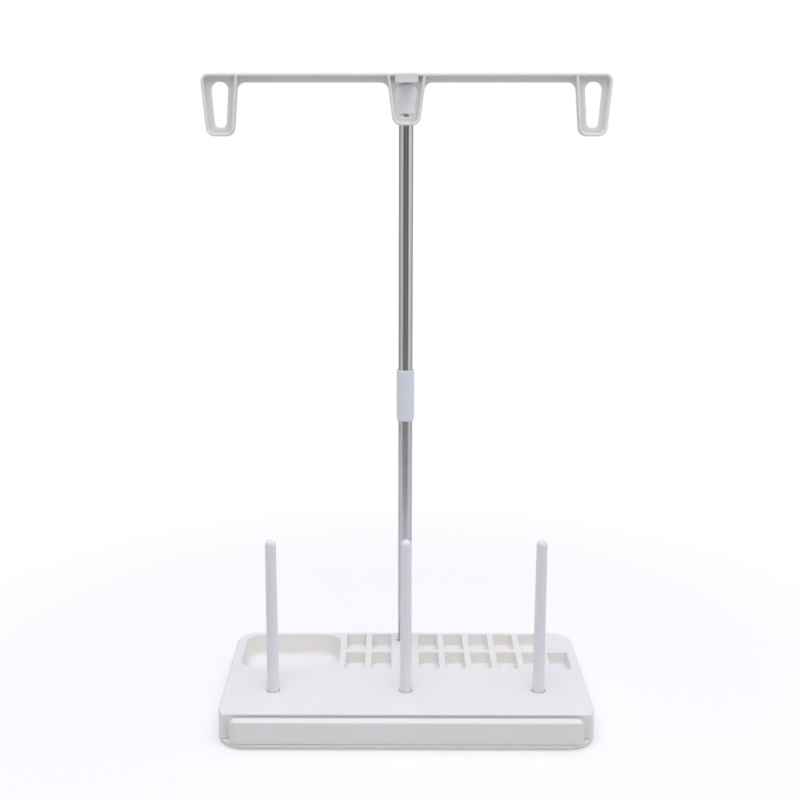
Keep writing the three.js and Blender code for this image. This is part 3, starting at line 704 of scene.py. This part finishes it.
shell = loft(base_outline, wall_levels(cover_bottom, deck_top, 0, deck_edge_round), 6.0)
hollow_levels = wall_levels(hollow_bottom, deck_under, 0, deck_under_round)
hollow = loft(base_outline, [(z, inset + cover_wall) for z, inset in hollow_levels])
front_profile = [(cover_front, -5), (cover_front, deck_top - deck_front_round)]
front_profile += [(cover_front + deck_front_round * rising, deck_top - deck_front_round * falling)
                  for falling, rising in arc(6, 82)[1:]]
front_profile += [(cover_front + deck_front_round + 0.6, deck_top + 1), (cover_front + 3, deck_top + 9),
                  (before_base, deck_top + 9), (before_base, -5)]
front_cut = skinned([[(x, y, z) for y, z in front_profile] for x in (-140, 140)])
opening_outline = outline(rectangle(-frame_opening, frame_opening, -5, frame_lip, (0, 0, 1, 1)))
opening = skinned([[(p.x, y, p.y) for p in opening_outline] for y in (before_base, -40)])
front_part = block(-past_side, past_side, past_front, frame_back, 0, 30)
front_frame = boolean(shell, front_part, "INTERSECT")
open_shell = without(joined([without(shell, hollow), without(front_frame, opening)]), front_cut)


def pin_boss_with_gussets(x):
    """The round boss of a pin socket and the two crossed ribs that stiffen it."""
    reach = pin_boss + gusset_reach
    foot = deck_under - gusset_reach
    return [disc(pin_boss, pin_boss_bottom, rib_top, x, pin_y),
            block(x - reach, x + reach, pin_y - gusset / 2, pin_y + gusset / 2, foot, rib_top),
            block(x - gusset / 2, x + gusset / 2, pin_y - reach, pin_y + reach, foot, rib_top)]


mast_boss = turned([
    (0, cover_bottom), (mast_collar, cover_bottom), (mast_collar, mast_collar_top - 0.4),
    (mast_collar - 0.12, mast_collar_top - 0.15), (mast_collar - 0.4, mast_collar_top),
    (0, mast_collar_top),
], 0, mast_y, 72)
mast_web = block(-gusset / 2, gusset / 2, mast_y, base_half_depth - cover_wall / 2, cell_floor, rib_top)
screw_bosses = together([disc(screw_collar, screw_boss_bottom, rib_top, x, y) for x, y in screw_spots])
stop_spans = [(side * stop_x - stop_half_width, side * stop_x + stop_half_width) for side in (-1, 1)]
stops = together([block(left, right, cover_front + 3, cover_front + 4.6, deck_under - 4.1, rib_top)
                  for left, right in stop_spans])
bosses = [part for x in (-pin_x, 0, pin_x) for part in pin_boss_with_gussets(x)]
cover = joined([open_shell, cell_shells, pocket_shell, *bosses, mast_boss, mast_web,
                screw_bosses, stops])
socket_profile = [
    (0, pin_socket_floor), (pin_socket, pin_socket_floor), (pin_socket, deck_top - 0.35),
    (pin_socket + 0.1, deck_top - 0.12), (pin_socket + 0.36, deck_top + 0.02),
    (pin_socket + 0.5, past_deck), (0, past_deck),
]
pin_holes = together([turned(socket_profile, x, pin_y, 64) for x in (-pin_x, 0, pin_x)])
mast_hole = turned([
    (0, mast_hole_floor), (mast_bore, mast_hole_floor), (mast_bore, mast_collar_top - 0.3),
    (mast_bore + 0.3, mast_collar_top + 0.01), (mast_bore + 0.3, past_deck), (0, past_deck),
], 0, mast_y, 72)
pilots = together([disc(screw_hole, 5, screw_pilot_top, x, y, 32) for x, y in screw_spots])
cover = without(cover, cell_cutter, pocket_cutter, pin_holes, mast_hole, pilots)
placed("deck_cover_moulding", cover, white_plastic, "stand_base", ["base_cover"])


# Drawer
# Shallow white tray whose front fills the open side of the base and has a rolled top rim.
# Its low back passes under the pin bosses, and two tabs on it meet the stops of the cover.
drawer_half_width = 112.3
tray_half_width = 110.7
drawer_front = -65.0
drawer_back = -4.0
drawer_bottom = 4.0
drawer_front_top = 19.5
drawer_side_top = 16.4
drawer_back_top = 11.5
drawer_floor = 5.7
drawer_wall = 1.6
drawer_front_wall = 2.5
drawer_front_reach = 5.6
drawer_rim = 1.6
drawer_corner_round = 6.0
drawer_face_depth = 3.5
drawer_floor_round = 1.2
drawer_back_round = 3.0
drawer_shoulder_round = 4.9
drawer_top_round = 1.6
drawer_reach_back = drawer_front + drawer_front_reach


def rounded_off(x, radius):
    """How much of the drawer's end a round corner takes away at x."""
    past_start = max(abs(x) - drawer_half_width + radius, 0.0)
    return radius - math.sqrt(radius ** 2 - past_start ** 2)


def front_section(x):
    """The front cut across at x. It bends back at both ends and falls round the shoulders."""
    face = min(drawer_front + rounded_off(x, drawer_corner_round), drawer_reach_back - 0.1)
    top = drawer_front_top - rounded_off(x, drawer_shoulder_round)
    soft = min(drawer_top_round, 0.45 * (drawer_reach_back - face))
    points = [(x, drawer_reach_back, drawer_bottom), (x, face + soft / 4, drawer_bottom),
              (x, face, drawer_bottom + soft / 4)]
    points += [(x, face + soft * rising, top - soft * falling) for falling, rising in arc(8)]
    return points + [(x, drawer_reach_back - soft / 4 * falling, top - soft / 4 * rising)
                     for falling, rising in arc(4)]


corner_start = drawer_half_width - drawer_corner_round
stations = [corner_start + drawer_corner_round * math.sin(math.pi / 2 * k / 24) for k in range(25)]
stations = [-x for x in reversed(stations)] + stations
drawer_face = skinned([front_section(x) for x in stations])
tray_outline = rectangle(-tray_half_width, tray_half_width, drawer_front + drawer_face_depth,
                         drawer_back, (0, 0, drawer_back_round, drawer_back_round))
tray_body = loft(tray_outline, wall_levels(drawer_bottom, drawer_side_top, 0.3, 0.4), 8.0)
inside_outline = rectangle(
    -tray_half_width + drawer_wall, tray_half_width - drawer_wall, drawer_front + drawer_front_wall,
    drawer_back - drawer_wall, (drawer_corner_round - drawer_wall,) * 2 + (drawer_back_round - 0.8,) * 2)
inside_levels = wall_levels(drawer_floor, drawer_front_top - drawer_rim, drawer_floor_round)
tray_inside = loft(inside_outline, inside_levels, 8.0)
above_back = block(-corner_start, corner_start, drawer_back - drawer_wall - 1, 20,
                   drawer_back_top, 30)
tabs = together([block(left, right, drawer_back - drawer_wall, drawer_back, drawer_back_top - 1.6,
                       drawer_side_top) for left, right in stop_spans])
tray = joined([without(joined([drawer_face, tray_body]), tray_inside, above_back), tabs])
placed("drawer_tray_moulding", tray, white_plastic, "drawer_body", ["drawer"])


# Screws
# Six zinc-plated self-tapping screws with cross recesses hold the plate to the cover. They
# sit head down in the plate, out of sight until the stand is turned over.
screw_bottom = 1.6
screw_shank = 1.4
screw_core = screw_shank * 0.8
screw_head = 2.9
screw_head_top = 3.1
screw_tip = 13.6
thread_pitch = 1.1
cross_arm = (0.4, 1.5)

screw_profile = [
    (0, screw_bottom), (screw_head * 0.62, screw_bottom), (screw_head * 0.88, screw_bottom + 0.3),
    (screw_head, screw_bottom + 0.8), (screw_head, screw_head_top - 0.1),
    (screw_head - 0.1, screw_head_top), (screw_core, screw_head_top),
]
height = screw_head_top + 0.5
while height < screw_tip - 2.8:
    screw_profile += [(screw_core, height), (screw_shank, height + thread_pitch * 0.35),
                      (screw_core, height + thread_pitch * 0.7)]
    height += thread_pitch
screw_profile += [(screw_core, screw_tip - 2.4), (0, screw_tip)]
cross = joined([block(-x, x, -y, y, 0.5, screw_bottom + 0.9) for x, y in (cross_arm, cross_arm[::-1])])
one_screw = without(turned(screw_profile, 0, 0, 40), cross)

screw_set, given = new_tree("cover_screw_set", "Screw", {
    "Outer Half Span": outer_screw_x, "Inner Half Span": inner_screw_x, "Row Y": screw_row_y,
    "Middle Y": middle_screw_y, "Corner X": corner_screw[0], "Corner Y": corner_screw[1]}, "Screws")
spots = add_node(screw_set, "GeometryNodeJoinGeometry")


def spot_pair(half_span, y, count):
    """A line of one or two points, from -half_span to half_span."""
    start = maths(screw_set, "MULTIPLY", half_span, -1.0 if count == 2 else 1.0)
    step = maths(screw_set, "MULTIPLY", half_span, 2.0)
    line = add_node(screw_set, "GeometryNodeMeshLine", None, {
        "Count": count, "Start Location": combined(screw_set, X=start, Y=y),
        "Offset": combined(screw_set, X=step)})
    screw_set.links.new(line.outputs[0], spots.inputs[0])


spot_pair(given["Outer Half Span"], given["Row Y"], 2)
spot_pair(given["Inner Half Span"], given["Row Y"], 2)
spot_pair(0.0, given["Middle Y"], 1)
spot_pair(given["Corner X"], given["Corner Y"], 1)
end_on_points(screw_set, spots.outputs[0], given["Screw"], given["Material"])

# The grain of drawn or turned metal: long fine lines along one axis, with faint clouds.
drawn, given = surface_group(
    "drawn_metal_grain", {"Line Count": 900.0, "Line Stretch": 0.02, "Roughness": 0.3},
    ("Colour", "Cloud Colour"))
place = add_node(drawn, "ShaderNodeTexCoord").outputs["Object"]
stretch = combined(drawn, X=1.0, Y=1.0, Z=given["Line Stretch"])
stretched = add_node(drawn, "ShaderNodeVectorMath", {"operation": "MULTIPLY"}, {0: place, 1: stretch})
lines = noise(drawn, stretched.outputs[0], given["Line Count"], 3.0)
clouds = noise(drawn, place, 40.0, 4.0)
metal_colour = mixed_colour(drawn, clouds, given["Colour"], given["Cloud Colour"])
spread = maths(drawn, "MULTIPLY", maths(drawn, "SUBTRACT", lines, 0.5), 0.22)
smudge = maths(drawn, "MULTIPLY", maths(drawn, "SUBTRACT", clouds, 0.5), 0.1)
metal_sheen = maths(drawn, "ADD", given["Roughness"], maths(drawn, "ADD", spread, smudge))
add_node(drawn, "NodeGroupOutput", None,
         {"Colour": metal_colour, "Roughness": metal_sheen, "Height": lines})


def drawn_metal(name, colour, cloud_colour, roughness, line_count, line_stretch, line_depth):
    """Bare metal with the shared grain, line_depth being the depth of its lines in mm."""
    material, shader = surfaced(name, drawn, {
        "Line Count": line_count, "Line Stretch": line_stretch, "Roughness": roughness,
        "Colour": (*colour, 1.0), "Cloud Colour": (*cloud_colour, 1.0)}, 0.4, line_depth)
    shader.inputs["Metallic"].default_value = 1.0
    return material


zinc = drawn_metal("zinc_plated_steel", (0.56, 0.56, 0.54), (0.46, 0.46, 0.45), 0.42, 600.0, 1.0, 0.02)
screws = from_tree(one_screw, screw_set, zinc)
placed("cover_screws_turned", screws, zinc, "stand_base",
       [f"cover_screw_{i}" for i in range(1, 7)])


# Feet
# Four grey rubber pads glued into round recesses under the plate, each with a shallow
# hollow that leaves a ring to stand on.
foot_radius = 7.0
foot_top = 1.8
foot_hollow = 0.25
foot_hollow_radius = 3.4

one_foot = turned([
    (0, foot_hollow), (foot_hollow_radius, foot_hollow), (foot_hollow_radius + 0.3, 0.0),
    (foot_radius - 0.5, 0.0), (foot_radius - 0.15, 0.15), (foot_radius, 0.5),
    (foot_radius, foot_top), (0, foot_top),
], 0, 0, 72)
foot_set, given = new_tree("foot_set", "Foot", {"Span X": 2 * foot_x, "Span Y": 2 * foot_y}, "Feet")
corners = add_node(foot_set, "GeometryNodeMeshGrid", None, {
    "Size X": given["Span X"], "Size Y": given["Span Y"], "Vertices X": 2, "Vertices Y": 2})
end_on_points(foot_set, corners.outputs[0], given["Foot"], given["Material"])
rubber = moulded_plastic("grey_foot_rubber", (0.30, 0.30, 0.30), (0.25, 0.25, 0.25), 0.82, 0.12, 0.0)
feet = from_tree(one_foot, foot_set, rubber)
foot_nodes = [f"foot_{row}_{side}" for row in ("front", "back") for side in ("left", "right")]
placed("rubber_feet_pads", feet, rubber, "stand_base", foot_nodes)


# Spool pins
# Three white moulded pins, slightly tapered, with round tips. Each stands loose in its
# socket, so that it lifts out when the stand is packed away.
pin_bottom = 13.9
pin_tip = 124.8
pin_base_radius = 3.9
pin_top_radius = 3.4
pin_tip_height = 3.2

cool_plastic = moulded_plastic(
    "cool_white_plastic", (0.84, 0.835, 0.85), (0.82, 0.815, 0.83), 0.38, 0.05, 0.4)
pin_rule, given = new_tree("tapered_pin", "Geometry", {
    "Pin X": 0.0, "Pin Y": pin_y, "Bottom": pin_bottom, "Deck": deck_top, "Tip": pin_tip,
    "Base Radius": pin_base_radius, "Top Radius": pin_top_radius, "Tip Height": pin_tip_height,
    "Foot Chamfer": 0.4, "Rings": 100}, "Pin")
line = add_node(pin_rule, "GeometryNodeMeshLine", None, {"Count": given["Rings"]})
order = add_node(pin_rule, "GeometryNodeInputIndex").outputs[0]
part = maths(pin_rule, "DIVIDE", order, maths(pin_rule, "SUBTRACT", given["Rings"], 1.0))
wave = maths(pin_rule, "COSINE", maths(pin_rule, "MULTIPLY", part, math.pi))
eased = maths(pin_rule, "MULTIPLY_ADD", wave, -0.5, 0.5)
length = maths(pin_rule, "SUBTRACT", given["Tip"], given["Bottom"])
height = maths(pin_rule, "MULTIPLY_ADD", eased, length, given["Bottom"])
spine = combined(pin_rule, X=given["Pin X"], Y=given["Pin Y"], Z=height)
path = add_node(pin_rule, "GeometryNodeSetPosition", None,
                {"Geometry": line.outputs[0], "Position": spine})
curve = add_node(pin_rule, "GeometryNodeMeshToCurve", None, {0: path.outputs[0]})
place = add_node(pin_rule, "GeometryNodeInputPosition").outputs[0]
spot = add_node(pin_rule, "ShaderNodeSeparateXYZ", None, {0: place}).outputs[2]
taper = ranged(pin_rule, spot, given["Deck"], given["Tip"], given["Base Radius"], given["Top Radius"])
tip_start = maths(pin_rule, "SUBTRACT", given["Tip"], given["Tip Height"])
into_tip = ranged(pin_rule, spot, tip_start, given["Tip"])
squared = maths(pin_rule, "MULTIPLY", into_tip, into_tip)
roundness = maths(pin_rule, "SQRT", maths(pin_rule, "SUBTRACT", 1.0, squared))
chamfer_top = maths(pin_rule, "ADD", given["Bottom"], given["Foot Chamfer"])
chamfer = ranged(pin_rule, spot, given["Bottom"], chamfer_top, given["Foot Chamfer"], 0.0)
radius = maths(pin_rule, "SUBTRACT", maths(pin_rule, "MULTIPLY", taper, roundness), chamfer)
circle = add_node(pin_rule, "GeometryNodeCurvePrimitiveCircle", None, {"Resolution": 56, "Radius": 1.0})
skin = add_node(pin_rule, "GeometryNodeCurveToMesh", None,
                {"Curve": curve.outputs[0], "Profile Curve": circle.outputs[0], "Scale": radius,
                 "Fill Caps": True})
closed_tip = add_node(pin_rule, "GeometryNodeMergeByDistance", None,
                      {"Geometry": skin.outputs[0], "Distance": 0.000005})
tree_end(pin_rule, closed_tip.outputs[0], given["Material"])

for side, x in (("left", -pin_x), ("centre", 0.0), ("right", pin_x)):
    pin = from_tree(bpy.data.meshes.new("pin"), pin_rule, cool_plastic, {"Pin X": x * mm})
    placed(f"{side}_pin_moulding", pin, cool_plastic, f"{side}_pin", [f"spool_pin_{side}"])


# Mast tubes
# Two plain steel tubes of 9.5 mm with a satin polish. The lower one stands in the deck, the
# upper one plugs into the sleeve on top of it.
tube_radius = 4.75
tube_bore = 3.95
tube_edge = 0.25
tube_ends = {"lower_tube": (6.0, 200.9, "lower_mast"), "upper_tube": (203.5, 405.9, "upper_mast")}

steel = drawn_metal(
    "satin_steel_tube", (0.60, 0.595, 0.585), (0.55, 0.545, 0.535), 0.19, 1400.0, 0.01, 0.01)
for node_name, (bottom, top, body_name) in tube_ends.items():
    wall = [(tube_radius - tube_edge, bottom), (tube_radius, bottom + tube_edge)]
    straight = top - bottom - 2 * tube_edge
    wall += [(tube_radius, bottom + tube_edge + straight * k / 8) for k in range(1, 8)]
    wall += [(tube_radius, top - tube_edge), (tube_radius - tube_edge, top), (tube_bore, top),
             (tube_bore, bottom)]
    tube = turned(wall, 0, mast_y, 96, True)
    placed(f"{node_name}_drawn", tube, steel, body_name, [node_name])


# Coupling sleeve
# White moulded sleeve pushed onto the lower tube, a little fuller in the middle, with a
# stop inside and a fine parting groove outside where its two halves meet.
sleeve_bottom = 184.35
sleeve_top = 220.05
sleeve_stop = (201.2, 203.2)
sleeve_end_radius = 5.9
sleeve_bulge = 0.15
sleeve_bore = 5.05
sleeve_stop_bore = 2.5
sleeve_round = 0.6
sleeve_groove = 0.2

sleeve_middle = (sleeve_bottom + sleeve_top) / 2
half_sleeve = [(sleeve_end_radius - sleeve_round * falling, sleeve_bottom + sleeve_round * rising)
               for falling, rising in arc(6)]
for k in range(1, 15):
    z = sleeve_bottom + sleeve_round + (sleeve_middle - 0.2 - sleeve_bottom - sleeve_round) * k / 14
    rise = math.cos(math.pi / 2 * (z - sleeve_middle) / (sleeve_top - sleeve_middle))
    half_sleeve.append((sleeve_end_radius + sleeve_bulge * rise, z))
sleeve_profile = half_sleeve + [(sleeve_end_radius + sleeve_bulge - sleeve_groove, sleeve_middle)]
sleeve_profile += [(radius, 2 * sleeve_middle - z) for radius, z in reversed(half_sleeve)]
stop_low, stop_high = sleeve_stop
sleeve_profile += [
    (sleeve_bore, sleeve_top), (sleeve_bore, stop_high), (sleeve_stop_bore, stop_high),
    (sleeve_stop_bore, stop_low), (sleeve_bore, stop_low), (sleeve_bore, sleeve_bottom),
]
sleeve = turned(sleeve_profile, 0, mast_y, 96, True)
placed("coupling_sleeve_moulding", sleeve, cool_plastic, "lower_mast", ["coupling_sleeve"])


# Mast head
# White moulded cap on the upper tube: a lower skirt, a fuller domed top and a flat tongue
# that the hub of the guide bar drops over.
head_bottom = 392.2
head_step = 400.0
head_top = 411.7
head_skirt = 7.0
head_radius = 7.7
head_bore = 5.05
head_bore_top = 406.2
head_dome = 5.0
tongue_half_width = 5.8
tongue_half_depth = 3.0
tongue_top = 416.3

head_profile = [
    (head_bore, head_bottom), (head_skirt - 0.5, head_bottom), (head_skirt - 0.15, head_bottom + 0.15),
    (head_skirt, head_bottom + 0.5), (head_skirt, head_step - 0.25), (head_skirt + 0.25, head_step),
    (head_radius, head_step), (head_radius + 0.25, head_step + 0.2),
    (head_radius + 0.25, head_step + 0.45), (head_radius, head_step + 0.9),
]
head_profile += [(head_radius - head_dome * rising, head_top - head_dome * falling)
                 for falling, rising in arc(16)]
head_profile += [(0, head_top), (0, head_bore_top), (head_bore, head_bore_top)]
cap = turned(head_profile, 0, mast_y, 96, True)
tongue_outline = rectangle(-tongue_half_width, tongue_half_width, mast_y - tongue_half_depth,
                           mast_y + tongue_half_depth, (0.8,) * 4)
tongue = loft(tongue_outline, wall_levels(head_top - 2.5, tongue_top, 0, 0.7))
# The head's own colour is white. This copy is painted lighter than the other white mouldings, painted
# light that makes up for the shade the guide bar casts on the head.
painted_light_plastic = moulded_plastic(
    "white_plastic_painted_lighter", (0.95, 0.945, 0.96), (0.93, 0.925, 0.94), 0.34, 0.05)
head = joined([cap, tongue])
placed("mast_head_moulding", head, painted_light_plastic, "swivel_head", ["mast_head"])


# Guide bar
# Cream-white moulding: a thin web with a flange along its top, three hanging thread loops
# with raised rims, and a hub behind the middle that drops over the tongue of the head.
bar_back = 39.1
bar_top = 418.1
bar_half_length = 132.7
bar_height = 6.1
bar_end_round = 5.0
bar_depth = 7.0
bar_web = 2.0
rim_width = 2.25
rim_round = 0.7
rim_draft = 0.25
rim_foot = 0.5
web_fillet = 5.4
loop_round = 5.8
slot_top = 5.6
loops = [
    {"x": -120.4, "outer": -1, "top": 24.6, "bottom": 17.9, "height": 40.2,
     "slot_land": 5.6, "slot_top_width": 11.8, "slot_bottom_width": 7.4},
    {"x": 0.0, "outer": 0, "top": 25.8, "bottom": 17.2, "height": 33.3,
     "slot_land": 5.4, "slot_top_width": 15.0, "slot_bottom_width": 9.6},
]
loops.append({**loops[0], "x": 120.4, "outer": 1})
hub_half_width = 7.55
hub_back = 56.5
hub_bottom = 412.0


def front_view(mesh):
    """A solid drawn as x across and height below the bar's top, stretched towards the front."""
    rows = ((1, 0, 0, 0), (0, 0, -1, bar_back * mm), (0, 1, 0, bar_top * mm), (0, 0, 0, 1))
    mesh.transform(Matrix(rows))
    return mesh


def loop_outline(loop):
    """Outline of one hanging loop, which widens towards the bar."""
    x = loop["x"]
    bottom_half = loop["bottom"] / 2
    top_half = loop["top"] / 2
    return [
        (x - bottom_half, -loop["height"], loop_round), (x + bottom_half, -loop["height"], loop_round),
        (x + top_half, 0, bar_end_round if loop["outer"] > 0 else 0),
        (x - top_half, 0, bar_end_round if loop["outer"] < 0 else 0),
    ]


def web_outline():
    """Outline of the whole thin web: the bar with the three loops hanging from it."""
    corners = [(bar_half_length, 0, bar_end_round), (-bar_half_length, 0, bar_end_round)]
    for loop in loops:
        share = bar_height / loop["height"]
        at_bar = (loop["top"] + (loop["bottom"] - loop["top"]) * share) / 2
        if loop["outer"] >= 0:
            corners.append((loop["x"] - at_bar, -bar_height, web_fillet))
        corners += loop_outline(loop)[:2]
        if loop["outer"] <= 0:
            corners.append((loop["x"] + at_bar, -bar_height, web_fillet))
    return corners


def rim_levels(sign, start):
    """The rounded front edge of a rim, as (depth, inset) that leans and then turns over."""
    return [(bar_depth - rim_round * falling, start + sign * (rim_draft + rim_round * rising))
            for falling, rising in arc(5)]


def loop_rim(loop):
    """The raised rim round one loop, with a small foot inside it."""
    corners = loop_outline(loop)
    outer = loft(corners, [(0, 0.3), (0.3, 0)] + rim_levels(1, 0.0), 5.0)
    inner_levels = [(-1, rim_width + rim_foot), (bar_web, rim_width + rim_foot),
                    (bar_web + 0.15, rim_width + rim_foot * 0.3), (bar_web + rim_foot, rim_width)]
    last = rim_levels(-1, rim_width)
    inner = loft(corners, inner_levels + last[:-1] + [(bar_depth + 0.01, last[-1][1])], 5.0)
    return boolean(front_view(outer), front_view(inner), "DIFFERENCE")


def loop_slot(loop):
    """The cutter of a loop's slot, which flares at both faces of the web."""
    x = loop["x"]
    land = -loop["height"] + loop["slot_land"]
    bottom_half = loop["slot_bottom_width"] / 2
    top_half = loop["slot_top_width"] / 2
    corners = [(x - bottom_half, land, bottom_half * 0.84), (x + bottom_half, land, bottom_half * 0.84),
               (x + top_half, -slot_top, top_half * 0.88), (x - top_half, -slot_top, top_half * 0.88)]
    edge = 0.35
    flare = [(0.0, -edge), (0.1, -edge * 0.4), (edge, 0.0)]
    levels = [(-1, -edge - 0.2)] + flare + [(bar_web - z, inset) for z, inset in reversed(flare)]
    return front_view(loft(corners, levels + [(bar_web + 1, -edge - 0.2)], 6.0))


web = front_view(loft(web_outline(), [(0, 0.3), (0.1, 0.1), (0.3, 0), (bar_web, 0)], 5.0))
web = without(web, together([loop_slot(loop) for loop in loops]))
flange_reach = bar_half_length - loops[0]["top"] + rim_width
flange = front_view(loft(rectangle(-flange_reach, flange_reach, -rim_width, 0),
                         [(0, 0.3), (0.3, 0)] + rim_levels(1, 0.0)))
hub_outline = rectangle(-hub_half_width, hub_half_width, bar_back - bar_depth, hub_back, (1.0,) * 4)
hub = loft(hub_outline, wall_levels(hub_bottom, bar_top, 0.3, 0.5))
hub_socket = block(-tongue_half_width - seam, tongue_half_width + seam,
                   mast_y - tongue_half_depth - seam, mast_y + tongue_half_depth + seam,
                   hub_bottom - 1, tongue_top + seam)
bar = without(joined([web, flange, *[loop_rim(loop) for loop in loops], hub]), hub_socket)
cream_plastic = moulded_plastic(
    "cream_moulded_plastic", (0.775, 0.77, 0.74), (0.75, 0.745, 0.71), 0.4, 0.05, 0.5)
placed("guide_bar_moulding", bar, cream_plastic, "bar", ["guide_bar"])
